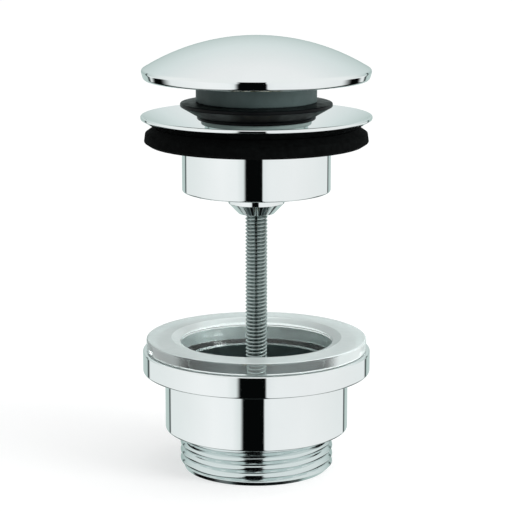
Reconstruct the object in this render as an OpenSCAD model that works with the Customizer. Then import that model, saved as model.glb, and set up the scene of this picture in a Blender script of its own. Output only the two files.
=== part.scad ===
// Push-open basin waste with a long clamping screw, drawn apart and with its plug up.
// Millimetres. The origin is the centre of the outlet end, and +Z is the axis of every piece.

/* [Outlet body] */
// Outside diameter of the outlet thread, G 1 1/4
thread_d = 41.91; // [41:0.01:44]
// Length of the outlet thread
thread_len = 11; // [8:0.5:16]
// Chamfer at the end of the outlet thread
thread_chamfer = 1.2; // [0.5:0.1:2]
// Bore of the outlet
outlet_bore_d = 35.6; // [32:0.2:37]
// Outside diameter of the cylinder above the thread
cylinder_d = 50; // [49:0.5:54]
// Length of the cylinder above the thread
cylinder_h = 16; // [14:0.5:24]
// Bore of the chamber that takes the cup
chamber_d = 44; // [43:0.5:45]
// Diameter of the ring that carries the lower gasket
ring_d = 62; // [58:0.5:70]
// Height of the ring
ring_h = 6; // [5:0.5:10]
// Radius on the edges of the ring
ring_edge = 0.5; // [0.4:0.1:1.6]
// Number of spider arms in the outlet
spider_arms = 3; // [2:1:5]
// Thickness of a spider arm
spider_arm_t = 3.2; // [2:0.2:5]
// Height of the spider
spider_h = 10; // [8:0.5:12]
// Diameter of the spider's boss
spider_boss_d = 13; // [12:0.5:16]
// Outside diameter of the threaded insert
insert_d = 9; // [8:0.5:10]

/* [Lower gasket] */
// Outside diameter of the lower gasket
lower_gasket_d = 60; // [56:0.5:66]
// Thickness of the lower gasket above the ring
lower_gasket_t = 3.3; // [2.5:0.1:5]
// Diameter of the lip that meets the cup
lip_hole_d = 41.6; // [41.2:0.1:42.4]
// Diameter where the inner bevel starts
bevel_d = 46.4; // [45:0.2:50]
// Depth of the collar below the top of the ring
collar_depth = 4; // [2.5:0.1:4.5]
// Outside diameter of the collar
collar_d = 55; // [50:0.5:56]
// Diameter of the hole at the collar's lower end
collar_hole_d = 39.4; // [38.4:0.2:41]

/* [Clamping] */
// Thinnest basin that can be clamped
basin_min = 8; // [6:0.5:12]
// How far the outlet body is drawn up the screw
clamp_travel = 45; // [38:1:54]
// Thread diameter of the clamping screw, M6
screw_d = 6; // [5:0.5:6]
// Length of the screw that grips in the insert when drawn apart
screw_grip = 9.7; // [7:0.1:12]
// Diameter of the screw's head
screw_head_d = 10; // [9:0.5:11]
// Height of the screw's head
screw_head_h = 4; // [3:0.5:5]
// Metal left under the socket in the head
socket_floor = 1.6; // [1.2:0.1:2]
// Width across the flats of the socket in the head
socket_af = 5; // [4:0.5:5]
// Outside diameter of the washer under the head
washer_d = 12; // [11:0.5:13]
// Thickness of the washer
washer_t = 1; // [0.8:0.1:1.6]

/* [Valve body] */
// Outside diameter of the flange
flange_d = 62; // [60:0.5:70]
// Thickness of the dished flange
flange_t = 1; // [0.8:0.1:2]
// Slope of the dish
dish_angle = 30; // [28:0.5:32]
// Outside diameter of the cup
cup_d = 40; // [39:0.2:40.6]
// Wall of the cup
cup_wall = 1.8; // [1.4:0.1:2.2]
// Length of the cup below the flange gasket
cup_drop = 12.6; // [11:0.2:14]
// Thickness of the cup's floor
floor_t = 2.5; // [2:0.1:3.5]
// Number of drain windows in the cup's floor
windows = 4; // [3:1:6]
// Width of an arm between two windows
arm_w = 4; // [3:0.5:5]
// Wall of the boss under the cup, round the barrel's hole
boss_wall = 0.55; // [0.4:0.05:1.6]
// Height of the boss under the cup with its cone
boss_h = 6.2; // [5:0.2:7]
// Height of the cone at the boss's end
boss_cone_h = 2.9; // [2:0.1:4]
// Diameter of the cone at its tip
boss_tip_d = 9.6; // [9:0.2:11]

/* [Flange gasket] */
// Outside diameter of the flange gasket
gasket_d = 60.2; // [58:0.2:62]
// Height of the flange gasket at its thin inner edge
gasket_in_h = 0.65; // [0.4:0.05:1.2]
// Width of the bevel on the gasket's upper edge
gasket_bevel = 2.8; // [2:0.1:3.4]
// Height of the bevel on the gasket's upper edge
gasket_bevel_h = 1.7; // [1:0.1:2.2]
// Height of the chamfer on the gasket's lower edge
gasket_chamfer = 0.9; // [0.4:0.1:1.2]
// Width of the chamfer on the gasket's lower edge
gasket_chamfer_w = 1.4; // [0.6:0.1:2]

/* [Plug] */
// Travel of the plug from open to closed
plug_travel = 7.9; // [6:0.1:8.5]
// Largest diameter of the cap
cap_d = 61.4; // [60:0.2:64]
// Radius of the cap's dome
dome_r = 58; // [52:0.5:70]
// Radius of the cap's rim
cap_rim_r = 1; // [0.6:0.1:1.3]
// Height of the band that runs down from the rim
cap_band_h = 1.2; // [0.8:0.1:1.6]
// How far the band draws in towards its lower end
cap_band_in = 0.35; // [0.2:0.05:0.6]
// Diameter of the lower edge of the cap
cap_edge_d = 51; // [50.4:0.2:53]
// Wall of the cap at its lower edge
cap_edge_wall = 1.4; // [1:0.1:1.6]
// Height from the cap's lower edge up to the middle of its rim
cap_skirt = 2.8; // [2.6:0.1:4]
// Thickness of the cap
cap_t = 1.5; // [1:0.1:1.8]
// Distance from the hub's lower edge up to the cap
hub_h = 5.3; // [4.5:0.1:6.5]
// Outside diameter of the hub
hub_d = 32.4; // [31.8:0.2:33]
// Diameter of the seal's lip
seal_lip_d = 40.8; // [40:0.2:42]
// Thickness of the seal's lip at its edge
seal_lip_t = 0.9; // [0.6:0.1:1.2]
// Rise from the lip's edge to the hub's lower edge
seal_rise = 1.2; // [1:0.1:1.6]
// Outside diameter of the seal's sleeve
seal_sleeve_d = 31.8; // [31:0.2:32.2]
// Distance from the lip's edge down to the end of the sleeve
seal_drop = 3.5; // [3.2:0.1:4]
// Outside diameter of the seal retainer
retainer_d = 29.6; // [29:0.2:31]
// Height of the seal retainer
retainer_h = 1.3; // [1:0.1:1.8]
// Outside diameter of the spigot that carries the seal
spigot_d = 26.4; // [26:0.2:27]
// Wall of the spigot
spigot_wall = 1.6; // [1.2:0.1:2]

/* [Cartridge] */
// Outside diameter of the barrel
barrel_d = 14; // [13.4:0.2:14.6]
// Bore of the barrel
barrel_bore_d = 11; // [10.8:0.2:11.6]
// Length of the barrel's screwed tail
tail_len = 5.6; // [5:0.2:6.4]
// How far the flats of the barrel's hexagon stand out
hex_land = 1.5; // [1:0.1:2]
// Height of the barrel's hexagon
hex_h = 3; // [2:0.2:4]
// Thickness of the washer under the hexagon
hex_washer_t = 0.8; // [0.6:0.1:1.2]
// Thickness of the barrel's floor
barrel_floor = 1; // [0.8:0.1:1.6]
// Length of the spring with the plug up
spring_len = 10.6; // [10.4:0.1:11.2]
// Wire of the spring
spring_wire = 0.6; // [0.4:0.1:0.6]
// Mean diameter of the spring
spring_d = 8.4; // [8:0.2:8.8]
// Number of turns in the spring
spring_turns = 4; // [3:1:4]
// Diameter of the rotor and of the plunger's crown
rotor_d = 10.2; // [9.8:0.2:10.4]
// Height of the rotor with its teeth
rotor_h = 2.6; // [2.4:0.1:3]
// Height of the crown teeth
tooth_h = 0.9; // [0.6:0.1:1]
// Number of crown teeth
teeth = 8; // [6:1:10]
// Diameter of the pilot that the rotor turns on
pilot_d = 4.8; // [4:0.2:5]
// Height of the plunger's crown with its teeth
crown_h = 2.5; // [2.2:0.1:2.8]
// Diameter of the plunger's stem
stem_d = 6; // [5:0.2:6]
// Thickness of the barrel's end cap
end_cap_h = 2; // [1.8:0.1:2.2]
// Section of the O-ring round the stem
stem_seal_d = 1; // [0.8:0.1:1]
// Thickness of the lock nut
lock_nut_h = 2.2; // [1.8:0.1:2.4]
// Width across the flats of the lock nut
lock_nut_af = 10; // [9:0.5:11]
// Outside diameter of the insert in the carrier
stem_insert_d = 8.4; // [8:0.2:9]

/* [Clearances] */
// Radial clearance of pieces that turn or slide in each other
running = 0.05; // [0.02:0.01:0.09]
// Clearance between pieces that stay together
fit = 0.05; // [0.02:0.01:0.1]
// Gap between pieces that move apart
free_gap = 0.3; // [0.3:0.05:0.5]

/* [Hidden] */
$fn = 96;

// Finishes
chrome = [0.80, 0.82, 0.82];
brass = [0.78, 0.64, 0.36];
steel = [0.55, 0.56, 0.56];
black_rubber = [0.06, 0.06, 0.06];
grey_plastic = [0.45, 0.48, 0.46];
light_plastic = [0.62, 0.65, 0.63];
white_plastic = [0.90, 0.90, 0.88];
clear_rubber = [0.78, 0.82, 0.80, 0.6];

// Overrun of a cut past the face that it opens
over = 1;

// Radii on small edges
moulded_edge = 0.3;
turned_edge = 0.5;

// Threads that are drawn as plain cylinders with a clearance
function bored(d) = d + 2 * fit;

// Heights of the outlet body and its gasket
z_cylinder = thread_len;
z_ring = z_cylinder + cylinder_h;
z_ring_top = z_ring + ring_h;
z_lower_gasket_top = z_ring_top + lower_gasket_t;
z_collar = z_ring_top - collar_depth;
spider_lift = 1;
arm_step = 1.5;
z_spider = z_cylinder + spider_lift;
mouth_d = bored(collar_d);

// Heights of the valve body and its gasket
z_gasket = z_lower_gasket_top + basin_min + clamp_travel;
z_cup = z_gasket - cup_drop;
z_boss_tip = z_cup - boss_h;
cup_bore_d = cup_d - 2 * cup_wall;
rim_round = 0.42;
rim_land = 0.15;
rim_edge = flange_t * rim_round;
rim_in_r = flange_d / 2 - rim_edge - rim_land;
gasket_in_r = cup_d / 2 + fit;
gasket_top_r = gasket_d / 2 - gasket_bevel;
flange_drop = flange_t / cos(dish_angle);
z_under_rim = z_gasket + gasket_in_h + fit + (rim_in_r - gasket_in_r) * tan(dish_angle);
z_rim = z_under_rim + flange_drop;

function dish_z(r) = z_rim - (rim_in_r - r) * tan(dish_angle);
function under_z(r) = dish_z(r) - flange_drop;

// Heights of the screw and the cartridge, from the seat of the screw's head up
seat_depth = 0.5;
head_gap = 0.1;
barrel_hub_wall = 2.5;
hub_ledge = 0.8;
z_head_seat = z_cup - seat_depth;
z_head = z_head_seat + washer_t + head_gap;
z_screw_end = z_spider + spider_h - screw_grip;
z_tail = z_head + screw_head_h + free_gap;
z_hex = z_tail + tail_len;
z_hub_top = z_hex - hex_washer_t;
z_barrel_floor = z_tail + barrel_floor;
z_rotor = z_barrel_floor + spring_len + free_gap;
z_crown = z_rotor + rotor_h + free_gap;
z_crown_top = z_crown + crown_h;
z_end_cap = z_crown_top + free_gap;
z_end_cap_top = z_end_cap + end_cap_h;
z_pilot_end = z_barrel_floor + plug_travel + free_gap;
z_lock_nut = z_end_cap_top + plug_travel + free_gap;
z_insert = z_lock_nut + lock_nut_h;
barrel_hub_d = bored(barrel_d) + 2 * barrel_hub_wall;
boss_d = bored(barrel_d) + 2 * boss_wall;
hex_af = barrel_d + 2 * hex_land;

// Heights of the plug, from the dish that the seal closes on
z_lip = dish_z(seal_lip_d / 2) + free_gap / cos(dish_angle) + plug_travel;
z_hub = z_lip + seal_rise;
z_sleeve_end = z_lip - seal_drop;
z_retainer = z_sleeve_end - retainer_h;
z_cap_edge = z_hub + hub_h;

// The cap's outline: a rim that runs into the dome above, and a band that rolls under to the skirt below
rim_c_r = cap_d / 2 - cap_rim_r;
z_rim_c = z_cap_edge + cap_skirt;
roll_c_r = rim_c_r - cap_band_in;
z_roll_c = z_rim_c - cap_band_h;
band_side = [cap_band_h, -cap_band_in] * cap_rim_r / norm([cap_band_h, cap_band_in]);
roll_share = 0.9;
z_under_roll = z_roll_c - cap_rim_r * roll_share;
z_dome_c = z_rim_c - sqrt(pow(dome_r - cap_rim_r, 2) - pow(rim_c_r, 2));
rim_turn = atan2(z_rim_c - z_dome_c, rim_c_r);
z_apex = z_dome_c + dome_r;
roll_reach = (z_apex + over - z_rim_c) / tan(rim_turn);
cap_in_r = cap_edge_d / 2 - cap_edge_wall;

// The carrier inside the cap
carrier_rim_r = cap_in_r - fit;
carrier_plate_t = 2.2;
carrier_recess = 2;
carrier_boss_wall = 2.3;
carrier_rib_t = 1.4;
carrier_ribs = 6;
hub_wall = 2.4;
crown_room = 0.6;
z_carrier_plate = z_cap_edge + carrier_recess;
z_insert_top = z_apex - cap_t - crown_room;

// Turns a profile drawn as radius and height about the axis
module turned() {
    rotate_extrude() children();
}

// Profile of a band from r0 to r1 and z0 to z1 with round outer edges
module band_profile(r0, r1, z0, z1, edge) {
    translate([r0, z0]) square([r1 - edge - r0, z1 - z0]);
    translate([r1 - 2 * edge, z0 + edge]) square([2 * edge, z1 - z0 - 2 * edge]);
    translate([r1 - edge, z0 + edge]) circle(edge);
    translate([r1 - edge, z1 - edge]) circle(edge);
}

// A tube between two heights
module tube(d_out, d_in, z0, z1) {
    translate([0, 0, z0]) difference() {
        cylinder(d = d_out, h = z1 - z0);
        translate([0, 0, -over]) cylinder(d = d_in, h = z1 - z0 + 2 * over);
    }
}

// A plain hole between two heights
module hole(d, z0, z1) {
    translate([0, 0, z0]) cylinder(d = d, h = z1 - z0);
}

// Diameter over the corners of a hexagon
function hex_d(af) = af / cos(30);

// Share of the pitch that a tooth fills at its root
tooth_fill = 0.84;

// Radial teeth that stand on a face at height z, pointing up or down
module crown_teeth(z, up) {
    half = tooth_fill * PI * rotor_d / teeth / 2;
    intersection() {
        for (k = [0 : teeth - 1])
            rotate([0, 0, k * 360 / teeth]) translate([0, 0, z]) rotate([90, 0, 90])
                linear_extrude(rotor_d / 2 + over)
                    polygon([[-half, 0], [half, 0], [0, up * tooth_h]]);
        hole(rotor_d, z - tooth_h - over, z + tooth_h + over);
    }
}

// The domed cover: a rolled rim tangent to the dome, a skirt under it, hollow inside
module cap() {
    skirt_r = cap_edge_d / 2;
    rim_c = [rim_c_r, z_rim_c];
    roll_c = [roll_c_r, z_roll_c];
    color(chrome) turned() difference() {
        union() {
            translate(rim_c) circle(cap_rim_r);
            translate(roll_c) circle(cap_rim_r);
            polygon([rim_c, roll_c, roll_c + band_side, rim_c + band_side]);
            intersection() {
                translate([0, z_dome_c]) circle(dome_r, $fn = 360);
                polygon([[0, z_cap_edge], [skirt_r, z_cap_edge], [roll_c_r, z_under_roll], rim_c,
                         [rim_c_r + roll_reach, z_apex + over], [0, z_apex + over]]);
            }
        }
        intersection() {
            translate([0, z_dome_c]) circle(dome_r - cap_t, $fn = 360);
            translate([0, z_cap_edge - over]) square([cap_in_r, dome_r]);
        }
        translate([-2 * dome_r, z_dome_c]) square(2 * dome_r);
    }
}

// The moulded hub: spigot, hub, plate inside the cap, insert boss and ribs under the dome
module plug_carrier() {
    spigot_bore = spigot_d - 2 * spigot_wall;
    z_hub_bore = z_hub + spigot_wall;
    z_plate_top = z_carrier_plate + carrier_plate_t;
    z_web_top = z_insert + carrier_plate_t;
    color(grey_plastic) difference() {
        union() {
            hole(spigot_d, z_retainer, z_hub + over);
            turned() band_profile(0, hub_d / 2, z_hub, z_web_top, moulded_edge);
            hole(2 * carrier_rim_r, z_carrier_plate, z_plate_top);
            hole(stem_insert_d + 2 * carrier_boss_wall, z_insert, z_insert_top);
            intersection() {
                translate([0, 0, z_dome_c]) sphere(dome_r - cap_t - fit, $fn = 180);
                hole(2 * carrier_rim_r, z_plate_top - over, z_apex);
                for (k = [0 : carrier_ribs - 1])
                    rotate([0, 0, k * 360 / carrier_ribs])
                        translate([0, -carrier_rib_t / 2, z_plate_top - over])
                            cube([carrier_rim_r + over, carrier_rib_t, dome_r]);
            }
        }
        hole(spigot_bore, z_retainer - over, z_hub_bore + over);
        hole(hub_d - 2 * hub_wall, z_hub_bore, z_insert);
        hole(bored(stem_insert_d), z_insert - over, z_apex);
    }
}

// The rubber seal: a sleeve with a conical lip that lies along the dish when shut
module lip_seal() {
    lip_r = seal_lip_d / 2;
    sleeve_r = seal_sleeve_d / 2;
    spigot_r = spigot_d / 2 + fit;
    z_root = z_lip - (lip_r - sleeve_r) * tan(dish_angle);
    color(black_rubber) turned()
        polygon([[spigot_r, z_sleeve_end], [sleeve_r, z_sleeve_end], [sleeve_r, z_root],
                 [lip_r, z_lip], [lip_r, z_lip + seal_lip_t], [hub_d / 2, z_hub],
                 [spigot_r, z_hub]]);
}

// The ring that holds the seal on the spigot
module seal_retainer() {
    color(light_plastic) turned() difference() {
        band_profile(spigot_d / 2 - over, retainer_d / 2, z_retainer, z_sleeve_end, moulded_edge);
        translate([0, z_retainer - over]) square([spigot_d / 2 + fit, retainer_h + 2 * over]);
    }
}

// The brass insert that takes the stem
module stem_insert() {
    color(brass) tube(stem_insert_d, bored(stem_d), z_insert, z_insert_top);
}

// The thin nut that locks the plug's height on the stem
module lock_nut() {
    color(brass) difference() {
        translate([0, 0, z_lock_nut]) cylinder(d = hex_d(lock_nut_af), h = lock_nut_h, $fn = 6);
        hole(bored(stem_d), z_lock_nut - over, z_insert + over);
    }
}

// The stem with its toothed crown and the pilot for the rotor
module plunger() {
    color(white_plastic) union() {
        hole(stem_d, z_crown_top - over, z_insert_top);
        hole(rotor_d, z_crown + tooth_h, z_crown_top);
        crown_teeth(z_crown + tooth_h, -1);
        hole(pilot_d, z_pilot_end, z_crown_top);
    }
}

// The ring that turns one step at each press
module index_rotor() {
    color(light_plastic) difference() {
        union() {
            hole(rotor_d, z_rotor, z_rotor + rotor_h - tooth_h);
            crown_teeth(z_rotor + rotor_h - tooth_h, 1);
        }
        hole(pilot_d + 2 * running, z_rotor - over, z_rotor + rotor_h + over);
    }
}

// The coil spring, swept as a ring of points round its wire at each step
spring_steps = 20;
spring_sides = 8;
spring_rings = spring_turns * spring_steps;
spring_rise = spring_len - spring_wire;

function spring_point(i, k) =
    let (turn = 360 * i / spring_steps)
    let (side = 360 * k / spring_sides)
    let (r = spring_d / 2 + spring_wire / 2 * cos(side))
    [r * cos(turn), r * sin(turn),
     z_barrel_floor + spring_wire / 2 + spring_rise * i / spring_rings + spring_wire / 2 * sin(side)];

module return_spring() {
    points = [for (i = [0 : spring_rings]) for (k = [0 : spring_sides - 1]) spring_point(i, k)];
    sides = [for (i = [0 : spring_rings - 1]) for (k = [0 : spring_sides - 1])
        let (next = (k + 1) % spring_sides)
        [i * spring_sides + k, (i + 1) * spring_sides + k,
         (i + 1) * spring_sides + next, i * spring_sides + next]];
    first = [for (k = [0 : spring_sides - 1]) k];
    last = [for (k = [spring_sides - 1 : -1 : 0]) spring_rings * spring_sides + k];
    color(steel) polyhedron(points, concat(sides, [first, last]), convexity = 10);
}

// The barrel that screws into the valve body
module cartridge_barrel() {
    drain_d = 3;
    color(brass) difference() {
        union() {
            hole(barrel_d, z_tail, z_end_cap);
            translate([0, 0, z_hex]) cylinder(d = hex_d(hex_af), h = hex_h, $fn = 6);
        }
        hole(barrel_bore_d, z_barrel_floor, z_end_cap + over);
        hole(drain_d, z_tail - over, z_barrel_floor + over);
    }
}

// The bush that closes the barrel and guides the stem
module cartridge_cap() {
    groove_h = bored(stem_seal_d);
    z_groove = z_end_cap + (end_cap_h - groove_h) / 2;
    color(brass) difference() {
        turned() band_profile(0, barrel_d / 2, z_end_cap, z_end_cap_top, turned_edge);
        hole(stem_d + 2 * running, z_end_cap - over, z_end_cap_top + over);
        hole(bored(stem_d + 4 * running + 2 * stem_seal_d), z_groove, z_groove + groove_h);
    }
}

// The O-ring round the stem
module stem_seal() {
    color(black_rubber) turned()
        translate([stem_d / 2 + 2 * running + stem_seal_d / 2, z_end_cap + end_cap_h / 2])
            circle(d = stem_seal_d, $fn = 32);
}

// The washer between the barrel's hexagon and the valve body
module cartridge_washer() {
    color(white_plastic) tube(hex_af, bored(barrel_d), z_hub_top, z_hex);
}

// Drain windows between the hub and the wall of the cup
module drain_windows() {
    translate([0, 0, z_cup - over]) linear_extrude(floor_t + 2 * over) difference() {
        circle(d = cup_bore_d);
        circle(d = barrel_hub_d + 2 * hub_ledge);
        for (k = [0 : windows - 1])
            rotate((k + 0.5) * 360 / windows) translate([0, -arm_w / 2]) square([cup_d, arm_w]);
    }
}

// The dished flange, the cup with its windowed floor, and the boss that holds screw and cartridge
module valve_body() {
    cup_r = cup_d / 2;
    bore_r = cup_bore_d / 2;
    edge_r = cup_r - turned_edge;
    z_edge = z_cup + turned_edge;
    rim_c = flange_d / 2 - rim_edge;
    tip_r = boss_tip_d / 2;
    color(chrome) difference() {
        turned() {
            polygon([[bore_r, z_cup], [edge_r, z_cup], [edge_r, z_edge], [cup_r, z_edge],
                     [cup_r, under_z(cup_r)], [rim_c, under_z(rim_c)], [rim_c, z_rim], [rim_in_r, z_rim],
                     [bore_r, dish_z(bore_r)]]);
            translate([rim_c, z_rim - rim_edge]) circle(rim_edge, $fn = 48);
            translate([edge_r, z_edge]) circle(turned_edge, $fn = 48);
            translate([0, z_cup]) square([bore_r + over, floor_t]);
            polygon([[0, z_boss_tip], [tip_r - turned_edge, z_boss_tip], [tip_r, z_boss_tip + turned_edge],
                     [boss_d / 2, z_boss_tip + boss_cone_h], [boss_d / 2, z_cup + floor_t],
                     [0, z_cup + floor_t]]);
            translate([0, z_cup]) square([barrel_hub_d / 2, z_hub_top - z_cup]);
        }
        drain_windows();
        hole(bored(barrel_d), z_head_seat, z_hub_top + over);
        hole(screw_d + 2 * free_gap, z_boss_tip - over, z_head_seat + over);
    }
}

// The foam wedge under the flange
module flange_gasket() {
    out_r = gasket_d / 2;
    draft = 0.3;
    z_inner = z_gasket + gasket_in_h;
    z_top = z_inner + (gasket_top_r - gasket_in_r) * tan(dish_angle);
    color(black_rubber) turned()
        polygon([[gasket_in_r, z_gasket], [out_r - gasket_chamfer_w, z_gasket], [out_r, z_gasket + gasket_chamfer],
                 [out_r - draft, z_top - gasket_bevel_h], [gasket_top_r, z_top],
                 [gasket_in_r, z_inner]]);
}

// The long screw that draws the outlet body up
module clamp_screw() {
    end_chamfer = 0.6;
    core_r = screw_d / 2;
    color(steel) difference() {
        turned() {
            polygon([[0, z_screw_end], [core_r - end_chamfer, z_screw_end],
                     [core_r, z_screw_end + end_chamfer], [core_r, z_head + over], [0, z_head + over]]);
            band_profile(0, screw_head_d / 2, z_head, z_head + screw_head_h, turned_edge);
        }
        translate([0, 0, z_head + socket_floor])
            cylinder(d = hex_d(socket_af), h = screw_head_h, $fn = 6);
    }
}

// The washer under the screw's head
module screw_washer() {
    color(steel) tube(washer_d, screw_d + 2 * free_gap, z_head_seat, z_head_seat + washer_t);
}

// The clear gasket: flat ring, bevel into the hole, lip, and a tapered collar in the ring's recess
module lower_gasket() {
    lip_r = lip_hole_d / 2;
    bevel_drop = 0.9;
    lip_h = 1.3;
    z_top = z_lower_gasket_top;
    z_lip_top = z_top - bevel_drop;
    z_lip_end = z_lip_top - lip_h;
    color(clear_rubber) turned() {
        polygon([[collar_hole_d / 2, z_collar], [collar_d / 2, z_collar], [collar_d / 2, z_top],
                 [bevel_d / 2, z_top], [lip_r, z_lip_top], [lip_r, z_lip_end]]);
        band_profile(bevel_d / 2, lower_gasket_d / 2, z_ring_top, z_top, turned_edge);
    }
}

// One arm of the spider, from inside the boss's wall into the wall of the outlet
module spider_arm() {
    r_in = (insert_d + spider_boss_d) / 4;
    r_out = chamber_d / 2 + over;
    translate([r_in, -spider_arm_t / 2, z_spider + arm_step])
        cube([r_out - r_in, spider_arm_t, spider_h - 2 * arm_step]);
}

// Ring, cylinder and threaded end, with a funnel and a spider inside
module outlet_body() {
    funnel_h = (chamber_d - outlet_bore_d) / 2;
    color(chrome) difference() {
        union() {
            turned() difference() {
                union() {
                    polygon([[0, 0], [thread_d / 2 - thread_chamfer, 0], [thread_d / 2, thread_chamfer],
                             [thread_d / 2, z_cylinder + over], [0, z_cylinder + over]]);
                    band_profile(0, cylinder_d / 2, z_cylinder, z_ring + ring_edge + over, turned_edge);
                    band_profile(0, ring_d / 2, z_ring, z_ring_top, ring_edge);
                }
                translate([0, -over]) square([outlet_bore_d / 2, z_ring_top + 2 * over]);
                polygon([[0, z_cylinder], [outlet_bore_d / 2, z_cylinder],
                         [chamber_d / 2, z_cylinder + funnel_h], [chamber_d / 2, z_ring_top + over],
                         [0, z_ring_top + over]]);
                translate([0, z_collar]) square([mouth_d / 2, collar_depth + over]);
            }
            hole(spider_boss_d, z_spider, z_spider + spider_h);
            for (k = [0 : spider_arms - 1])
                rotate([0, 0, 90 + k * 360 / spider_arms]) spider_arm();
        }
        hole(bored(insert_d), z_spider - over, z_spider + spider_h + over);
    }
}

// The brass insert that the screw runs in
module thread_insert() {
    color(brass) tube(insert_d, screw_d + 2 * running, z_spider, z_spider + spider_h);
}

cap();
plug_carrier();
lip_seal();
seal_retainer();
stem_insert();
lock_nut();
plunger();
index_rotor();
return_spring();
cartridge_barrel();
cartridge_cap();
stem_seal();
cartridge_washer();
valve_body();
flange_gasket();
clamp_screw();
screw_washer();
lower_gasket();
outlet_body();
thread_insert();
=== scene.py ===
"""Looks of a push-open basin waste: chrome turned parts, rubber seals, a clear gasket and real threads."""

import math

import bmesh
import bpy
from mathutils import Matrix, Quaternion, Vector


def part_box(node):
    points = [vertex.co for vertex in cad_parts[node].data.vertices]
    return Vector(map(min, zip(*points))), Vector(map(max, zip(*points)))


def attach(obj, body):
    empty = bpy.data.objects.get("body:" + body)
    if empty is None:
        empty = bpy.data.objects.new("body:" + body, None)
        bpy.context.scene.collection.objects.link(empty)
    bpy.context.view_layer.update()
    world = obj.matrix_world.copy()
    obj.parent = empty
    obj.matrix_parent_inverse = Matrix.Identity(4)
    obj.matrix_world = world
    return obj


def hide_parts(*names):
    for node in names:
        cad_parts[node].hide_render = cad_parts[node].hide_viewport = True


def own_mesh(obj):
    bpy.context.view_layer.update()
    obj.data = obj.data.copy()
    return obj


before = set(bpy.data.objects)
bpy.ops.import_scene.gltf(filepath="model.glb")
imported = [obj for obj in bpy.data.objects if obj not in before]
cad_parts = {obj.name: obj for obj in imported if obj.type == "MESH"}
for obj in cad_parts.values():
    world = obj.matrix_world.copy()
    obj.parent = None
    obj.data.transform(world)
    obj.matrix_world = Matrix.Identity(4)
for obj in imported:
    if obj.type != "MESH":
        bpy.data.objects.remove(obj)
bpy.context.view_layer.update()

# Units and mesh density. Lengths are in millimetres. Only the camera's place, the lamp and the floor are
# in metres.
MM = 0.001
AROUND = 216
ARC_STEP = math.radians(6)
FINE_STEP = math.radians(1)
FLAT_STEP = 2.5
SHARP_ANGLE = math.radians(40)
ON_AXIS = 1e-6
AXIS = (0, 0, 1)

# Camera, worked out from the edges of the rings in the photograph
CAMERA_AT = (-0.00011, -0.5130, 0.1622)
CAMERA_PITCH = math.radians(11.41)
CAMERA_LENS = 135.7
CAMERA_SENSOR = 36.0


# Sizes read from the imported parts

def radius(node):
    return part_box(node)[1].x / MM


def bottom(node):
    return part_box(node)[0].z / MM


def top(node):
    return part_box(node)[1].z / MM


# Outlines: lists of (radius, height, material index)

def arc(centre, size, start, end, step=FINE_STEP):
    """Points on an arc, with angles in degrees from the outward direction."""
    count = max(2, math.ceil(abs(math.radians(end - start)) / step))
    points = []
    for k in range(count + 1):
        a = math.radians(start + (end - start) * k / count)
        points.append((centre[0] + size * math.cos(a), centre[1] + size * math.sin(a), 0))
    return points


def fillet_points(before, here, after, size):
    """Points on a fillet of this size at the corner between two straight stretches."""
    back, ahead = (before - here).normalized(), (after - here).normalized()
    half = back.angle(ahead) / 2
    centre = here + (back + ahead).normalized() * (size / math.sin(half))
    reach = size / math.tan(half)
    first, last = here + back * reach - centre, here + ahead * reach - centre
    sweep = math.atan2(first.x * last.y - first.y * last.x, first.dot(last))
    steps = max(3, math.ceil(abs(sweep) / ARC_STEP))
    points = []
    for s in range(steps + 1):
        a = sweep * s / steps
        points.append(centre + Vector((first.x * math.cos(a) - first.y * math.sin(a),
                                       first.x * math.sin(a) + first.y * math.cos(a))))
    return points


def plain(corners):
    """Corners (radius, height, fillet) of an outline that has one material."""
    return [(*corner, 0) for corner in corners]


def rounded(corners, closed=True):
    """Corners (radius, height, fillet, material index of the stretch after it) as a filleted outline."""
    count = len(corners)
    points = []
    for k, (r, z, fillet, finish) in enumerate(corners):
        at_end = not closed and k in (0, count - 1)
        if at_end or fillet <= 0:
            points.append((r, z, finish))
            continue
        curve = fillet_points(Vector(corners[k - 1][:2]), Vector((r, z)),
                              Vector(corners[(k + 1) % count][:2]), fillet)
        for s, p in enumerate(curve):
            points.append((p.x, p.y, corners[k - 1][3] if s < len(curve) / 2 else finish))
    return points


def spread(points, closed=True):
    """The outline with long straight stretches cut up, so that shading stays even."""
    dense = []
    count = len(points)
    for k, (r, z, finish) in enumerate(points):
        dense.append((r, z, finish))
        if k == count - 1 and not closed:
            break
        next_r, next_z, _ = points[(k + 1) % count]
        parts = math.ceil(math.hypot(next_r - r, next_z - z) / FLAT_STEP)
        for s in range(1, parts):
            dense.append((r + (next_r - r) * s / parts, z + (next_z - z) * s / parts, finish))
    return dense


# Meshes

def lathe(mesh, outline, closed=True, around=AROUND, shape=None):
    """Adds the turned outline to a bmesh. shape(r, z, angle) may give another radius, as on a thread."""
    rows = []
    for r, z, _ in outline:
        if r < ON_AXIS:
            rows.append([mesh.verts.new((0, 0, z * MM))])
            continue
        row = []
        for k in range(around):
            a = 2 * math.pi * k / around
            here = shape(r, z, a) if shape else r
            row.append(mesh.verts.new((here * math.cos(a) * MM, here * math.sin(a) * MM, z * MM)))
        rows.append(row)
    pairs = len(rows) if closed else len(rows) - 1
    for i in range(pairs):
        low, high = rows[i], rows[(i + 1) % len(rows)]
        for k in range(around):
            n = (k + 1) % around
            ring = [low[k % len(low)], low[n % len(low)], high[n % len(high)], high[k % len(high)]]
            # A point on the axis comes twice in the ring and is used once
            face = mesh.faces.new(list(dict.fromkeys(ring)))
            face.material_index = outline[i][2]
            face.smooth = True


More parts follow.
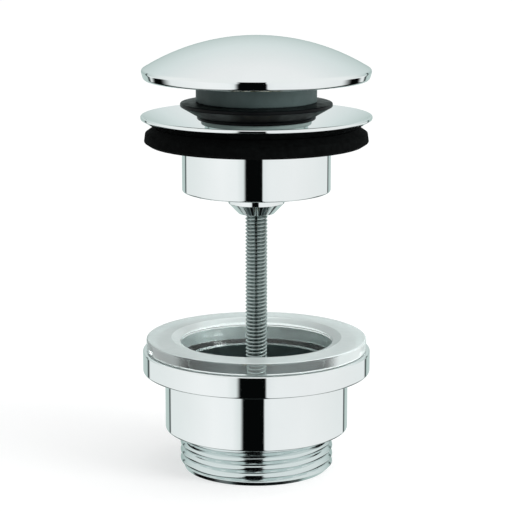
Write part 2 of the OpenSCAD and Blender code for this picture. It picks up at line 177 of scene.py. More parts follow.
def arm(mesh, low, high, turn, finish, edge):
    """Adds a box with small bevels to a bmesh, turned about the axis by an angle in degrees."""
    made = bmesh.ops.create_cube(mesh, size=1)["verts"]
    for v in made:
        place = Vector([(low[i] + (high[i] - low[i]) * (v.co[i] + 0.5)) * MM for i in range(3)])
        place.rotate(Quaternion(AXIS, math.radians(turn)))
        v.co = place
    edges = list({e for v in made for e in v.link_edges})
    bevelled = bmesh.ops.bevel(mesh, geom=edges, offset=edge * MM, segments=2, affect="EDGES", profile=0.5)
    corners = {v for face in bevelled["faces"] for v in face.verts}
    for face in {f for v in corners for f in v.link_faces}:
        face.material_index = finish
        face.smooth = True


def finished(name, mesh, materials, body, node):
    """Turns a bmesh into a piece that stands for a CAD node and moves with its body."""
    bmesh.ops.recalc_face_normals(mesh, faces=mesh.faces)
    data = bpy.data.meshes.new(name)
    mesh.to_mesh(data)
    mesh.free()
    for material in materials:
        data.materials.append(material)
    data.set_sharp_from_angle(angle=SHARP_ANGLE)
    piece = bpy.data.objects.new(name, data)
    bpy.context.scene.collection.objects.link(piece)
    weighted = piece.modifiers.new("even_shading", "WEIGHTED_NORMAL")
    weighted.keep_sharp = True
    weighted.weight = 100
    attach(piece, body)
    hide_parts(node)
    return piece


def turned_piece(name, corners, material, body, node):
    """A piece of one material, turned from a closed outline of corners (radius, height, fillet)."""
    mesh = bmesh.new()
    lathe(mesh, spread(rounded(plain(corners))))
    return finished(name, mesh, [material], body, node)


# Shader trees

class Tree:
    """A node tree with short names for what is used here."""

    def __init__(self, tree):
        self.tree = tree

    def add(self, kind, **settings):
        node = self.tree.nodes.new(kind)
        for key, value in settings.items():
            setattr(node, key, value)
        return node

    def feed(self, socket, value):
        """Links an output to a socket, or sets the socket to a constant."""
        if isinstance(value, bpy.types.NodeSocket):
            self.tree.links.new(value, socket)
        else:
            socket.default_value = value

    def math(self, operation, a, b=0.0):
        node = self.add("ShaderNodeMath", operation=operation)
        self.feed(node.inputs[0], a)
        self.feed(node.inputs[1], b)
        return node.outputs[0]

    def product(self, first, *others):
        for other in others:
            first = self.math("MULTIPLY", first, other)
        return first

    def step(self, value, start, end, low=0.0, high=1.0):
        """Goes smoothly from low to high while the value goes from start to end."""
        node = self.add("ShaderNodeMapRange", interpolation_type="SMOOTHSTEP")
        for key, number in (("From Min", start), ("From Max", end), ("To Min", low), ("To Max", high)):
            node.inputs[key].default_value = number
        self.feed(node.inputs["Value"], value)
        return node.outputs["Result"]

    def ramp(self, value, *stops):
        """Colours between stops (value, colour), which come in rising order."""
        start, end = stops[0][0], stops[-1][0]
        node = self.add("ShaderNodeValToRGB")
        elements = node.color_ramp.elements
        while len(elements) < len(stops):
            elements.new(1.0)
        for element, (at, colour) in zip(elements, stops):
            element.position = (at - start) / (end - start)
            element.color = (*colour, 1)
        share = self.add("ShaderNodeMapRange")
        share.inputs["From Min"].default_value = start
        share.inputs["From Max"].default_value = end
        self.feed(share.inputs["Value"], value)
        self.feed(node.inputs["Fac"], share.outputs["Result"])
        return node.outputs["Color"]

    def mix(self, factor, a, b):
        node = self.add("ShaderNodeMix", data_type="RGBA")
        self.feed(node.inputs[0], factor)
        self.feed(node.inputs[6], a)
        self.feed(node.inputs[7], b)
        return node.outputs[2]

    def place(self, stretch=(1, 1, 1)):
        """Object coordinates, stretched."""
        mapping = self.add("ShaderNodeMapping")
        mapping.inputs["Scale"].default_value = stretch
        self.feed(mapping.inputs["Vector"], self.add("ShaderNodeTexCoord").outputs["Object"])
        return mapping.outputs["Vector"]

    def noise(self, scale, detail=3.0, stretch=(1, 1, 1)):
        node = self.add("ShaderNodeTexNoise")
        node.inputs["Scale"].default_value = scale
        node.inputs["Detail"].default_value = detail
        self.feed(node.inputs["Vector"], self.place(stretch))
        return node.outputs["Fac"]


# The stretch of a noise's values over which colour and roughness change
PATTERN = (0.3, 0.7)


class Finish(Tree):
    """A material with a principled shader."""

    def __init__(self, name, **values):
        self.material = bpy.data.materials.new(name)
        self.material.use_nodes = True
        super().__init__(self.material.node_tree)
        self.shader = self.tree.nodes["Principled BSDF"]
        for key, value in values.items():
            self.shader.inputs[key.replace("_", " ")].default_value = value

    def colour(self, pattern, dark, light):
        colour = self.ramp(pattern, (PATTERN[0], dark), (PATTERN[1], light))
        self.feed(self.shader.inputs["Base Color"], colour)

    def roughness(self, pattern, low, high):
        self.feed(self.shader.inputs["Roughness"], self.step(pattern, *PATTERN, low, high))

    def bump(self, pattern, depth):
        node = self.add("ShaderNodeBump")
        node.inputs["Distance"].default_value = depth * MM
        self.feed(node.inputs["Height"], pattern)
        self.feed(self.shader.inputs["Normal"], node.outputs["Normal"])


# Kinds of material. rough is a pair of roughness values, and depths of bumps are in millimetres.

CLOUDED = 0.97


def plated(name, colour, rough, wave=0.002):
    """Polished plating: faint cloudiness in colour and gloss, and a very slight waviness."""
    f = Finish(name, Metallic=1.0)
    f.colour(f.noise(scale=60, detail=4), tuple(c * CLOUDED for c in colour), colour)
    f.roughness(f.noise(scale=900), *rough)
    f.bump(f.noise(scale=220, detail=2), wave)
    return f.material


def metal(name, dark, light, rough, depth=0.0002):
    """Turned or drawn metal, with fine lines round the axis."""
    f = Finish(name, Metallic=1.0)
    lines = f.noise(scale=260, detail=1, stretch=(1, 1, 12))
    f.colour(lines, dark, light)
    f.roughness(f.noise(scale=1500), *rough)
    f.bump(lines, depth)
    return f.material


def rolled_thread(name, shaded_groove, crest, rough, root, outside, depth=0.0005):
    """Rolled steel thread with painted shade: dark in its grooves and bright on its crests, set by radius.
    root and outside are radii.
    """
    f = Finish(name, Metallic=1.0)
    flat = f.add("ShaderNodeVectorMath", operation="LENGTH")
    f.feed(flat.inputs[0], f.place((1 / MM, 1 / MM, 0)))
    # The noise moves the edge between the painted groove shade and bright metal by up to this much
    uneven = (outside - root) / 4
    groove_shade = f.math("ADD", flat.outputs["Value"], f.math("MULTIPLY", f.noise(scale=900), uneven))
    middle = (root + outside) / 2 + uneven / 2
    # Painted shade: the colour gets darker towards the thread's root, where shade falls in the grooves
    f.feed(f.shader.inputs["Base Color"], f.ramp(groove_shade, (root, shaded_groove), (middle, crest)))
    f.roughness(f.noise(scale=1500), *rough)
    f.bump(f.noise(scale=700), depth)
    return f.material


def moulded(name, dark, light, rough, specular=0.5, grain=0.01):
    """Moulded plastic or rubber: cloudy colour, fine grain and uneven gloss."""
    f = Finish(name, Specular_IOR_Level=specular)
    f.colour(f.noise(scale=170, detail=5), dark, light)
    f.roughness(f.noise(scale=420), *rough)
    f.bump(f.noise(scale=5200), grain)
    return f.material


def foam(name, dark, light, rough, pores=0.03):
    """Closed-cell foam rubber: dull, with small open pores."""
    f = Finish(name, Specular_IOR_Level=0.04)
    cells = f.add("ShaderNodeTexVoronoi")
    cells.inputs["Scale"].default_value = 1900
    f.feed(cells.inputs["Vector"], f.place())
    f.colour(f.noise(scale=700, detail=4), dark, light)
    f.roughness(f.noise(scale=600), *rough)
    f.bump(cells.outputs["Distance"], pores)
    return f.material


SLANT = (0.24, 0.38)


def frosted(name, clear, dark, light, rough, cloudy=None, wave=0.006):
    """Soft clear plastic. clear is the share of light that goes through it, and the rest is a milky haze.
    cloudy, where given, is that share where the plastic is seen at a slant, through more of it."""
    f = Finish(name, Transmission_Weight=clear, IOR=1.4)
    f.colour(f.noise(scale=120, detail=4), dark, light)
    f.roughness(f.noise(scale=500), *rough)
    f.bump(f.noise(scale=800), wave)
    if cloudy is not None:
        slant = f.add("ShaderNodeLayerWeight")
        slant.inputs["Blend"].default_value = 0.5
        share = f.step(slant.outputs["Facing"], *SLANT, clear, cloudy)
        f.feed(f.shader.inputs["Transmission Weight"], share)
    return f.material


CHROME = plated("chrome", colour=(0.80, 0.845, 0.84), rough=(0.02, 0.05))
THREAD_CHROME = plated("thread_chrome", colour=(0.64, 0.72, 0.715), rough=(0.08, 0.14), wave=0.004)
BORE_PLATE = plated("bore_plate", colour=(0.19, 0.24, 0.24), rough=(0.3, 0.45), wave=0.008)
SEAT_PLATE = plated("seat_plate", colour=(0.93, 0.965, 0.96), rough=(0.85, 0.98), wave=0.008)
ZINC = metal("zinc_steel", dark=(0.30, 0.36, 0.35), light=(0.37, 0.43, 0.42), rough=(0.14, 0.22))
# The screw's groove colour is painted shade in its thread grooves
SCREW_STEEL = rolled_thread("screw_steel", shaded_groove=(0.03, 0.04, 0.04), crest=(0.38, 0.44, 0.43),
                            rough=(0.05, 0.1), root=2.4, outside=3.0)
BRASS = metal("turned_brass", dark=(0.68, 0.53, 0.27), light=(0.78, 0.63, 0.35), rough=(0.09, 0.15))
SEAL_RUBBER = moulded("seal_rubber", dark=(0.0015, 0.002, 0.0025), light=(0.003, 0.004, 0.0045),
                      rough=(0.32, 0.42), specular=0.1)
FOAM_RUBBER = foam("foam_rubber", dark=(0.0008, 0.001, 0.001), light=(0.002, 0.0025, 0.0025),
                   rough=(0.8, 0.95))
GREY_PLASTIC = moulded("grey_plastic", dark=(0.05, 0.074, 0.072), light=(0.068, 0.096, 0.094),
                       rough=(0.4, 0.5), specular=0.14)
LIGHT_PLASTIC = moulded("light_plastic", dark=(0.22, 0.30, 0.285), light=(0.28, 0.36, 0.345),
                        rough=(0.36, 0.48))
WHITE_PLASTIC = moulded("white_plastic", dark=(0.72, 0.72, 0.70), light=(0.82, 0.82, 0.80),
                        rough=(0.35, 0.5))
CLEAR_RUBBER = frosted("clear_rubber", clear=0.93, dark=(0.88, 0.965, 0.955), light=(0.92, 0.985, 0.975),
                       rough=(0.03, 0.07))
WALL_RUBBER = frosted("wall_rubber", clear=0.92, dark=(0.88, 0.965, 0.955), light=(0.92, 0.985, 0.975),
                      rough=(0.03, 0.07), cloudy=0.58)
MILKY_RUBBER = frosted("milky_rubber", clear=0.36, dark=(0.86, 0.945, 0.935), light=(0.91, 0.985, 0.975),
                       rough=(0.16, 0.26))


# The plug

CAP_RIM = 1.0
CAP_BAND_H = 1.2
CAP_BAND_IN = 0.35
CAP_SKIRT = 2.8
CAP_DOME = 58.0
CAP_WALL = 1.5
CAP_FOOT = 25.5
CAP_INSIDE = 24.1
CAP_ROLL_END = -104
DOME_STEP = FINE_STEP / 2
ROLL_STEP = 3 * FINE_STEP
# Fillet
CAP_LIP = 0.2


def make_cap():
    """The dome, a rim that rolls over a short band into the skirt, and the hollow inside."""
    low = bottom("cap")
    rim = (radius("cap") - CAP_RIM, low + CAP_SKIRT)
    roll = (rim[0] - CAP_BAND_IN, rim[1] - CAP_BAND_H)
    band = -math.degrees(math.atan2(CAP_BAND_IN, CAP_BAND_H))
    dome = (0, top("cap") - CAP_DOME)
    inside = CAP_DOME - CAP_WALL
    meet = math.degrees(math.atan2(rim[1] - dome[1], rim[0]))
    roof = math.degrees(math.acos(CAP_INSIDE / inside))
    outline = arc(dome, CAP_DOME, 90, meet, DOME_STEP)
    outline += arc(rim, CAP_RIM, meet, band, ROLL_STEP)[1:]
    outline += arc(roll, CAP_RIM, band, CAP_ROLL_END, ROLL_STEP)
    lip = plain([outline[-1], (CAP_FOOT, low, CAP_LIP), (CAP_INSIDE, low, CAP_LIP),
                 (CAP_INSIDE, rim[1], 0)])
    outline += rounded(lip, closed=False)[1:-1]
    outline += arc(dome, inside, roof, 90)
    outline[0] = (0, top("cap"), 0)
    outline[-1] = (0, top("cap") - CAP_WALL, 0)
    mesh = bmesh.new()
    lathe(mesh, spread(outline, closed=False), closed=False)
    finished("cap_shell", mesh, [CHROME], "plug", "cap")


SEAL_SLEEVE = 15.9
SEAL_BORE = 13.25
SEAL_LIP_T = 0.9
SEAL_RISE = 1.2
HUB = 16.2
DISH_SLOPE = math.tan(math.radians(30))
# Fillets
SEAL_EDGE = 0.15
SEAL_FOOT = 0.35
SEAL_ROOT = 0.6
SEAL_LIP_LOW = 0.3
SEAL_LIP_HIGH = 0.35


def make_lip_seal():
    """A sleeve with a wide lip whose underside is as steep as the dish."""
    lip, low, high = radius("lip_seal"), bottom("lip_seal"), top("lip_seal")
    z_lip = high - SEAL_RISE
    root = z_lip - (lip - SEAL_SLEEVE) * DISH_SLOPE
    turned_piece("seal_ring", [
        (SEAL_BORE, low, SEAL_EDGE),
        (SEAL_SLEEVE, low, SEAL_FOOT),
        (SEAL_SLEEVE, root, SEAL_ROOT),
        (lip, z_lip, SEAL_LIP_LOW),
        (lip, z_lip + SEAL_LIP_T, SEAL_LIP_HIGH),
        (HUB, high, 0),
        (SEAL_BORE, high, SEAL_EDGE),
    ], SEAL_RUBBER, "plug", "lip_seal")


# Fillets
RETAINER_EDGE = 0.12
RETAINER_LOW = 0.35
RETAINER_HIGH = 0.2


def make_retainer():
    outside, low, high = radius("seal_retainer"), bottom("seal_retainer"), top("seal_retainer")
    turned_piece("retainer_ring", [
        (SEAL_BORE, low, RETAINER_EDGE),
        (outside, low, RETAINER_LOW),
        (outside, high, RETAINER_HIGH),
        (SEAL_BORE, high, RETAINER_EDGE),
    ], LIGHT_PLASTIC, "plug", "seal_retainer")


# The valve body and its gasket

FLANGE_T = 1.0
RIM_EDGE = 0.42
RIM_LAND = 0.15
CUP = 20.0
CUP_BORE = 18.2
CUP_FLOOR = 76.7
FLOOR_T = 2.5
BOSS = 7.6
BOSS_CONE = 2.9
BOSS_TIP = 4.8
BARREL_HUB = 9.55
BARREL_BORE = 7.05
HUB_RISE = 0.2
SCREW_HOLE = 3.3
SEAT_DEPTH = 0.5
FLOOR_ARM = 4.0
FLOOR_ARMS = 4
FLOOR_ARM_RISE = 0.02
ARM_OVERLAP = 0.6
# Fillets, beside RIM_EDGE
RIM_UNDER = 0.05
RIM_LOW = 0.3
RIM_IN = 0.1
CUP_EDGE = 0.2
CUP_FOOT = 0.5
CUP_MOUTH = 0.6
BOSS_TIP_EDGE = 0.3
BOSS_EDGE = 0.15
HUB_EDGE = 0.2
BORE_EDGE = 0.1
FLOOR_ARM_EDGE = 0.25


def make_valve_body():
    """The dished flange with the cup under it, and the hub that four arms hold in the cup's floor."""
    outside, z_rim, low = radius("valve_body"), top("valve_body"), bottom("valve_body")
    z_hub = bottom("cartridge_washer")
    z_seat = CUP_FLOOR - SEAT_DEPTH
    z_foot = CUP_FLOOR + HUB_RISE
    rim_out, rim_in = outside - RIM_EDGE, outside - RIM_EDGE - RIM_LAND
    drop = FLANGE_T / math.cos(math.atan(DISH_SLOPE))

    def dish(r):
        return z_rim - (rim_in - r) * DISH_SLOPE

    shell = plain([
        (CUP_BORE, CUP_FLOOR, CUP_EDGE),
        (CUP, CUP_FLOOR, CUP_FOOT),
        (CUP, dish(CUP) - drop, CUP_EDGE),
        (rim_out, dish(rim_out) - drop, RIM_UNDER),
        (outside, z_rim - 2 * RIM_EDGE, RIM_LOW),
        (outside, z_rim, RIM_EDGE),
        (rim_in, z_rim, RIM_IN),
        (CUP_BORE, dish(CUP_BORE), CUP_MOUTH),
    ])
    hub = plain([
        (SCREW_HOLE, low, BORE_EDGE),
        (BOSS_TIP, low, BOSS_TIP_EDGE),
        (BOSS, low + BOSS_CONE, BOSS_EDGE),
        (BOSS, z_foot, BORE_EDGE),
        (BARREL_HUB, z_foot, HUB_EDGE),
        (BARREL_HUB, z_hub, HUB_EDGE),
        (BARREL_BORE, z_hub, BORE_EDGE),
        (BARREL_BORE, z_seat, BORE_EDGE),
        (SCREW_HOLE, z_seat, BORE_EDGE),
    ])
    mesh = bmesh.new()
    lathe(mesh, spread(rounded(shell)))
    lathe(mesh, spread(rounded(hub)), around=AROUND // 2)
    inner = (BARREL_HUB - ARM_OVERLAP, -FLOOR_ARM / 2, CUP_FLOOR + FLOOR_ARM_RISE)
    outer = (CUP_BORE + ARM_OVERLAP, FLOOR_ARM / 2, CUP_FLOOR + FLOOR_T)
    for k in range(FLOOR_ARMS):
        arm(mesh, inner, outer, (k + 0.5) * 360 / FLOOR_ARMS, 0, FLOOR_ARM_EDGE)
    finished("valve_shell", mesh, [CHROME], "valve", "valve_body")


FOAM_BEVEL = (2.8, 1.7)
FOAM_CHAMFER = (1.4, 0.9)
FOAM_DRAFT = 0.3
FIT = 0.05
# Fillets
FOAM_EDGE = 0.3
FOAM_CREST = 0.2
FOAM_INNER = 0.1


def make_flange_gasket():
    """A foam ring that fills the wedge between the flange and the basin."""
    inside, outside = CUP + FIT, radius("flange_gasket")
    low, high = bottom("flange_gasket"), top("flange_gasket")
    crest = outside - FOAM_BEVEL[0]
    turned_piece("foam_wedge", [
        (inside, low, FOAM_INNER),
        (outside - FOAM_CHAMFER[0], low, FOAM_EDGE),
        (outside, low + FOAM_CHAMFER[1], FOAM_EDGE),
        (outside - FOAM_DRAFT, high - FOAM_BEVEL[1], FOAM_EDGE),
        (crest, high, FOAM_CREST),
        (inside, high - (crest - inside) * DISH_SLOPE, FOAM_INNER),
    ], FOAM_RUBBER, "valve", "flange_gasket")


# Threads

def thread_cut(z, angle, pitch):
    """How deep a right-hand thread with round crests is cut here: 0 on the crest, 1 at the root."""
    return 1 - abs(math.sin(math.pi * (z / pitch - angle / (2 * math.pi))))


SCREW = 3.0
SCREW_PITCH = 1.0
SCREW_DEPTH = 0.56
SCREW_END = 0.7
SCREW_NECK = 1.5
SCREW_HEAD = 4.0
SOCKET = 2.5
SOCKET_FLOOR = 1.6
SOCKET_CONE = 0.3
SOCKET_SIDE = math.radians(60)
SCREW_AROUND = 60
ROWS_PER_PITCH = 10
# Fillets
SCREW_NECK_EDGE = 0.1
HEAD_LOW = 0.2
HEAD_HIGH = 0.4


def make_clamp_screw():
    """A long screw with a cut thread and a hexagon socket in its head."""
    head, z_end, z_top = radius("clamp_screw"), bottom("clamp_screw"), top("clamp_screw")
    z_head = z_top - SCREW_HEAD
    z_floor = z_head + SOCKET_FLOOR
    z_start, z_stop = z_end + SCREW_END, z_head - SCREW_NECK
    rows = int((z_stop - z_start) / SCREW_PITCH * ROWS_PER_PITCH)
    outline = [(0, z_end, 0), (SCREW - SCREW_END, z_end, 0)]
    outline += [(SCREW, z_start + (z_stop - z_start) * k / rows, 0) for k in range(rows + 1)]
    neck_and_head = plain([
        (SCREW, z_stop, 0),
        (SCREW, z_head, SCREW_NECK_EDGE),
        (head, z_head, HEAD_LOW),
        (head, z_top, HEAD_HIGH),
        (SOCKET, z_top, 0),
    ])
    outline += rounded(neck_and_head, closed=False)[1:]
    outline += [(SOCKET, z_floor, 0), (0, z_floor - SOCKET_CONE, 0)]

    def shape(r, z, angle):
        if r == SCREW and z <= z_stop:
            return r - SCREW_DEPTH * thread_cut(z, angle, SCREW_PITCH)
        if r == SOCKET:
            return r / math.cos((angle % SOCKET_SIDE) - SOCKET_SIDE / 2)
        return r

    mesh = bmesh.new()
    lathe(mesh, outline, closed=False, around=SCREW_AROUND, shape=shape)
    finished("screw_with_thread", mesh, [SCREW_STEEL], "screw", "clamp_screw")


# The outlet body with its thread, and the clear gasket

THREAD = 20.955
THREAD_PITCH = 2.309
THREAD_DEPTH = 0.75
THREAD_CHAMFER = 1.2
THREAD_FADE = 0.8
THREAD_ROWS = 110
OUTLET_BORE = 17.8
OUTLET_START = 1.0
CYLINDER = 25.0
CHAMBER = 22.0
MOUTH = 27.55
Z_CYLINDER = 11.0
Z_THREAD = 10.5
Z_RING = 27.0
RING_LAND = 1.0
SPIDER_BOSS = 6.5
SPIDER_ARM = 3.2
SPIDER_ARMS = 3
SPIDER_STEP = 1.5
SPIDER_TURN = 90
# Fillets
THREAD_END = 0.15
THREAD_ROOT = 0.1
OUTLET_BORE_END = 0.3
CYLINDER_FOOT = 0.5
CHAMBER_EDGE = 0.2
FUNNEL_EDGE = 0.6
MOUTH_EDGE = 0.25
MOUTH_FOOT = 0.1
RING_EDGE = 0.5
RING_ROOT = 0.12
SPIDER_EDGE = 0.4


def make_outlet_body():
    """The ring, the cylinder and the threaded end, turned as one, and the spider that holds the insert."""
    outer, cut, bore, seat = range(4)
    materials = [CHROME, THREAD_CHROME, BORE_PLATE, SEAT_PLATE]
    ring, z_top, z_mouth = radius("outlet_body"), top("outlet_body"), bottom("lower_gasket")
    z_funnel = Z_CYLINDER + CHAMBER - OUTLET_BORE
    outline = rounded([
        (OUTLET_BORE, OUTLET_START, 0, bore),
        (OUTLET_BORE, 0, OUTLET_BORE_END, cut),
        (THREAD - THREAD_CHAMFER, 0, THREAD_END, cut),
        (THREAD, THREAD_CHAMFER, 0, cut),
    ], closed=False)[1:-1]
    outline += [(THREAD, THREAD_CHAMFER + (Z_THREAD - THREAD_CHAMFER) * k / THREAD_ROWS, cut)
                for k in range(THREAD_ROWS + 1)]
    outline += rounded([
        (THREAD, Z_THREAD, 0, cut),
        (THREAD, Z_CYLINDER, THREAD_ROOT, outer),
        (CYLINDER, Z_CYLINDER, CYLINDER_FOOT, outer),
        (CYLINDER, Z_RING, RING_ROOT, outer),
        (ring, Z_RING, RING_EDGE, outer),
        (ring, z_top, RING_EDGE, outer),
        (radius("lower_gasket") - RING_LAND, z_top, 0, seat),
        (MOUTH, z_top, MOUTH_EDGE, seat),
        (MOUTH, z_mouth, MOUTH_FOOT, seat),
        (CHAMBER, z_mouth, CHAMBER_EDGE, bore),
        (CHAMBER, z_funnel, FUNNEL_EDGE, bore),
        (OUTLET_BORE, Z_CYLINDER, FUNNEL_EDGE, bore),
        (OUTLET_BORE, OUTLET_START, 0, bore),
    ], closed=False)[1:]

    def shape(r, z, angle):
        if r != THREAD or z > Z_THREAD:
            return r
        fade = min(1.0, (Z_THREAD - z) / THREAD_FADE)
        return r - THREAD_DEPTH * thread_cut(z, angle, THREAD_PITCH) * fade

    mesh = bmesh.new()
    lathe(mesh, spread(outline), shape=shape)
    low, high = bottom("thread_insert"), top("thread_insert")
    insert = radius("thread_insert") + FIT
    boss = [(insert, low, BORE_EDGE, bore), (SPIDER_BOSS, low, SPIDER_EDGE, bore),
            (SPIDER_BOSS, high, SPIDER_EDGE, bore), (insert, high, BORE_EDGE, bore)]
    lathe(mesh, spread(rounded(boss)), around=AROUND // 3)
    near = (SPIDER_BOSS - ARM_OVERLAP, -SPIDER_ARM / 2, low + SPIDER_STEP)
    far = (CHAMBER + ARM_OVERLAP, SPIDER_ARM / 2, high - SPIDER_STEP)
    for k in range(SPIDER_ARMS):
        arm(mesh, near, far, SPIDER_TURN + k * 360 / SPIDER_ARMS, bore, SPIDER_EDGE)
    finished("outlet_shell", mesh, materials, "outlet", "outlet_body")


GASKET_LIP = 20.8
GASKET_LIP_TOP = 0.9
GASKET_LIP_H = 1.3
GASKET_MOUTH = 23.2
GASKET_RISE = 0.01
COLLAR = 27.5
COLLAR_HOLE = 19.7
# Fillets
GASKET_LIP_HIGH = 0.2
GASKET_LIP_LOW = 0.3
GASKET_MOUTH_EDGE = 0.3
GASKET_LOW = 0.3
GASKET_HIGH = 0.5
COLLAR_EDGE = 0.15
COLLAR_ROOT = 0.05


def make_lower_gasket():
    """The clear ring: milky on top, its outer wall cloudy at a slant, and clear inside and below."""
    clear, milky, wall = range(3)
    materials = [CLEAR_RUBBER, MILKY_RUBBER, WALL_RUBBER]
    outside, low, high = radius("lower_gasket"), bottom("lower_gasket"), top("lower_gasket")
    z_ring = top("outlet_body") + GASKET_RISE
    z_lip = high - GASKET_LIP_TOP
    corners = [
        (COLLAR_HOLE, low, COLLAR_EDGE, clear),
        (COLLAR, low, COLLAR_EDGE, clear),
        (COLLAR, z_ring, COLLAR_ROOT, clear),
        (outside, z_ring, GASKET_LOW, wall),
        (outside, high, GASKET_HIGH, milky),
        (GASKET_MOUTH, high, GASKET_MOUTH_EDGE, milky),
        (GASKET_LIP, z_lip, GASKET_LIP_HIGH, clear),
        (GASKET_LIP, z_lip - GASKET_LIP_H, GASKET_LIP_LOW, clear),
    ]
    mesh = bmesh.new()
    lathe(mesh, spread(rounded(corners)))
    finished("clear_gasket", mesh, materials, "outlet", "lower_gasket")


# The spring in the cartridge

SPRING_TURNS = 4
SPRING_WIRE = 0.6
SPRING_STEPS = 40
WIRE_SIDES = 12


def make_spring():
    """A coil of round wire, built at one length, though the real spring gets shorter when the plug is
    pressed.
    """
    low, high = bottom("return_spring"), top("return_spring")
    half = SPRING_WIRE / 2
    mean = radius("return_spring") - half
    total = SPRING_TURNS * SPRING_STEPS
    mesh = bmesh.new()
    rings = []
    for i in range(total + 1):
        turn = 2 * math.pi * i / SPRING_STEPS
        middle = low + half + (high - low - SPRING_WIRE) * i / total
        ring = []
        for k in range(WIRE_SIDES):
            side = 2 * math.pi * k / WIRE_SIDES
            r, z = mean + half * math.cos(side), middle + half * math.sin(side)
            ring.append(mesh.verts.new((r * math.cos(turn) * MM, r * math.sin(turn) * MM, z * MM)))
        rings.append(ring)
    for a, b in zip(rings, rings[1:]):
        for k in range(WIRE_SIDES):
            n = (k + 1) % WIRE_SIDES
            mesh.faces.new((a[k], a[n], b[n], b[k])).smooth = True
    mesh.faces.new(rings[0])
    mesh.faces.new(rings[-1])
    spring = finished("coil_spring", mesh, [ZINC], "valve", "return_spring")
    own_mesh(spring)


# CAD parts that keep their own solids

KEPT = {
    "plug_carrier": GREY_PLASTIC, "stem_insert": BRASS, "lock_nut": BRASS, "plunger": WHITE_PLASTIC,
    "index_rotor": LIGHT_PLASTIC, "cartridge_barrel": BRASS, "cartridge_cap": BRASS, "stem_seal": SEAL_RUBBER,
    "cartridge_washer": WHITE_PLASTIC, "screw_washer": ZINC, "thread_insert": BRASS,
}


def dress_kept_parts():
    for node, material in KEPT.items():
        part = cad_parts[node]
        if not part.material_slots:
            part.data.materials.append(material)
        for held in part.material_slots:
            held.material = material


# The studio

WHITE = (1, 1, 1, 1)
FLOOR_SIZE = 3.0
FLOOR_COLOUR = (0.58, 0.58, 0.58, 1)
FLOOR_GLOW = 0.48


def make_floor():
    """White paper that keeps the part's shadow. The chrome shows the painted studio instead of it."""
    mesh = bmesh.new()
    bmesh.ops.create_grid(mesh, x_segments=1, y_segments=1, size=FLOOR_SIZE)
    data = bpy.data.meshes.new("floor")
    mesh.to_mesh(data)
    mesh.free()
    floor = bpy.data.objects.new("floor", data)
    bpy.context.scene.collection.objects.link(floor)
    paper = Finish("floor_paper", Roughness=1.0, Specular_IOR_Level=0.0, Base_Color=FLOOR_COLOUR,
                   Emission_Color=WHITE, Emission_Strength=FLOOR_GLOW)
    data.materials.append(paper.material)
    floor.visible_glossy = False


# The studio as the chrome shows it: white panels at the front with a dark gap between them, and a grey
# backdrop that gets lighter upwards. Angles are in degrees, 0 at the front, and a colour of 1 is white.
# A pair of numbers is a soft edge: nothing at the first number, all of it at the second.
LINE = (0.06, 0.075, 0.075)
BACK = (0.55, 0.65, 0.63)
PANELS = (
    (-180, BACK), (-146, BACK), (-143, LINE), (-140, LINE),
    (-137, (0.90, 0.93, 0.93)), (-95, (0.97, 0.98, 0.985)), (-55, (1.07, 1.06, 1.07)),
    (-30, (1.04, 1.04, 1.05)), (-19, (0.86, 0.89, 0.89)), (8, (0.92, 0.93, 0.94)),
    (20, (1.0, 1.0, 1.01)), (60, (1.02, 1.01, 1.02)), (100, (0.98, 0.98, 0.985)),
    (141, (0.91, 0.93, 0.935)), (144, LINE), (147, LINE), (150, BACK), (180, BACK),
)
PANEL_TOP = (-6.5, -3.5)
GROUND = (0.16, 0.19, 0.19, 1)
GROUND_EDGE = (-72.0, -52.0)
BACKDROP = (
    (-40, (0.40, 0.485, 0.47)), (-9, (0.41, 0.50, 0.485)), (3, (0.50, 0.59, 0.575)),
    (7, (0.57, 0.66, 0.645)), (30, (0.79, 0.85, 0.85)), (57, (0.99, 0.98, 0.99)), (90, (1.04, 1.03, 1.04)),
)
BACKDROP_FROM = (95.0, 150.0)
DARK = (0.002, 0.0025, 0.0025, 1)
GAP_LEFT = (-20.0, -15.0)
GAP_RIGHT = (10.5, 8.0)
GAP_TOP = (34.0, 18.0)
GAP_FRONT = (0.3, 0.1)
LOW_SIDES_FROM = (100.0, 118.0)
LOW_SIDES_TO = (150.0, 138.0)
LOW_SIDES_TOP = (-17.5, -20.0)
LINES_AT = (-141.5, 145.5)
LINE_SIDE = (3.0, 1.5)
LINE_TOP = (14.0, 10.0)
FILL_LEFT = (0.45, 0.47, 0.47, 1)
FILL_RIGHT = (1.4, 1.4, 1.4, 1)
FILL_EDGE = (-0.9, 0.9)
DEGREES = 180 / math.pi


def paint_panorama(t, x, y, z):
    """The colour of the studio in the direction x, y, z."""
    bearing = t.math("MULTIPLY", t.math("ARCTAN2", x, t.math("MULTIPLY", y, -1.0)), DEGREES)
    height = t.math("MULTIPLY", t.math("ARCSINE", z), DEGREES)
    aside = t.math("MULTIPLY", t.math("ARCSINE", x), DEGREES)
    turn = t.math("ABSOLUTE", bearing)

    sky = t.mix(t.step(turn, *BACKDROP_FROM), WHITE, t.ramp(height, *BACKDROP))
    lines = [t.step(t.math("ABSOLUTE", t.math("SUBTRACT", bearing, at)), *LINE_SIDE) for at in LINES_AT]
    on_line = t.product(t.math("MAXIMUM", *lines), t.step(height, *LINE_TOP))
    sky = t.mix(on_line, sky, (*LINE, 1))

    walls = t.mix(t.step(height, *GROUND_EDGE), GROUND, t.ramp(bearing, *PANELS))
    low_sides = t.product(t.step(turn, *LOW_SIDES_FROM), t.step(turn, *LOW_SIDES_TO),
                          t.step(height, *LOW_SIDES_TOP))
    walls = t.mix(low_sides, walls, DARK)

    in_gap = t.product(t.step(aside, *GAP_LEFT), t.step(aside, *GAP_RIGHT), t.step(y, *GAP_FRONT),
                       t.step(height, *GAP_TOP))
    return t.mix(in_gap, t.mix(t.step(height, *PANEL_TOP), walls, sky), DARK)


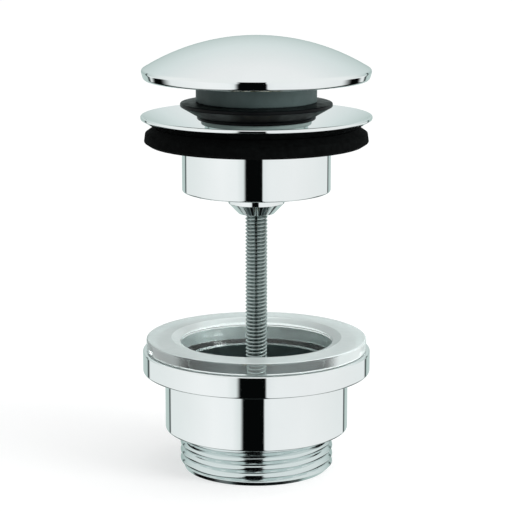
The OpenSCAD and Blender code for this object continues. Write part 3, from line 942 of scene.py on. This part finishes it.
def make_world():
    """White where it is seen, the painted studio in reflections, and a fill that is brighter on the right."""
    world = bpy.data.worlds.new("studio")
    bpy.context.scene.world = world
    world.use_nodes = True
    world.node_tree.nodes.clear()
    t = Tree(world.node_tree)
    parts = t.add("ShaderNodeSeparateXYZ")
    t.feed(parts.inputs[0], t.add("ShaderNodeTexCoord").outputs["Generated"])
    x, y, z = parts.outputs
    panorama = paint_panorama(t, x, y, z)
    path = t.add("ShaderNodeLightPath")
    seen = t.math("MAXIMUM", path.outputs["Is Camera Ray"], path.outputs["Is Transmission Ray"])
    fill = t.mix(t.step(x, *FILL_EDGE), FILL_LEFT, FILL_RIGHT)
    colour = t.mix(seen, t.mix(path.outputs["Is Glossy Ray"], fill, panorama), WHITE)
    background = t.add("ShaderNodeBackground")
    t.feed(background.inputs["Color"], colour)
    t.feed(t.add("ShaderNodeOutputWorld").inputs["Surface"], background.outputs[0])


LAMP_AT = (0.66, -0.36, 0.2)
LAMP_SIZE = 0.4
LAMP_POWER = 4.5
LAMP_AIM = Vector((0, 0, 0.08))


def make_lamp():
    data = bpy.data.lights.new("key", "AREA")
    data.shape = "DISK"
    data.size = LAMP_SIZE
    data.energy = LAMP_POWER
    lamp = bpy.data.objects.new("key", data)
    bpy.context.scene.collection.objects.link(lamp)
    lamp.location = LAMP_AT
    lamp.rotation_euler = (LAMP_AIM - lamp.location).to_track_quat("-Z", "Y").to_euler()
    lamp.visible_glossy = False


def make_camera():
    data = bpy.data.cameras.new("photo_view")
    data.lens = CAMERA_LENS
    data.sensor_width = CAMERA_SENSOR
    data.sensor_height = CAMERA_SENSOR
    data.sensor_fit = "HORIZONTAL"
    camera = bpy.data.objects.new("photo_view", data)
    bpy.context.scene.collection.objects.link(camera)
    camera.location = CAMERA_AT
    camera.rotation_euler = (math.pi / 2 - CAMERA_PITCH, 0, 0)
    bpy.context.scene.camera = camera


make_camera()
make_world()
make_floor()
make_lamp()
make_cap()
make_lip_seal()
make_retainer()
make_valve_body()
make_flange_gasket()
make_clamp_screw()
make_outlet_body()
make_lower_gasket()
make_spring()
dress_kept_parts()
bpy.context.scene.view_settings.view_transform = "Standard"
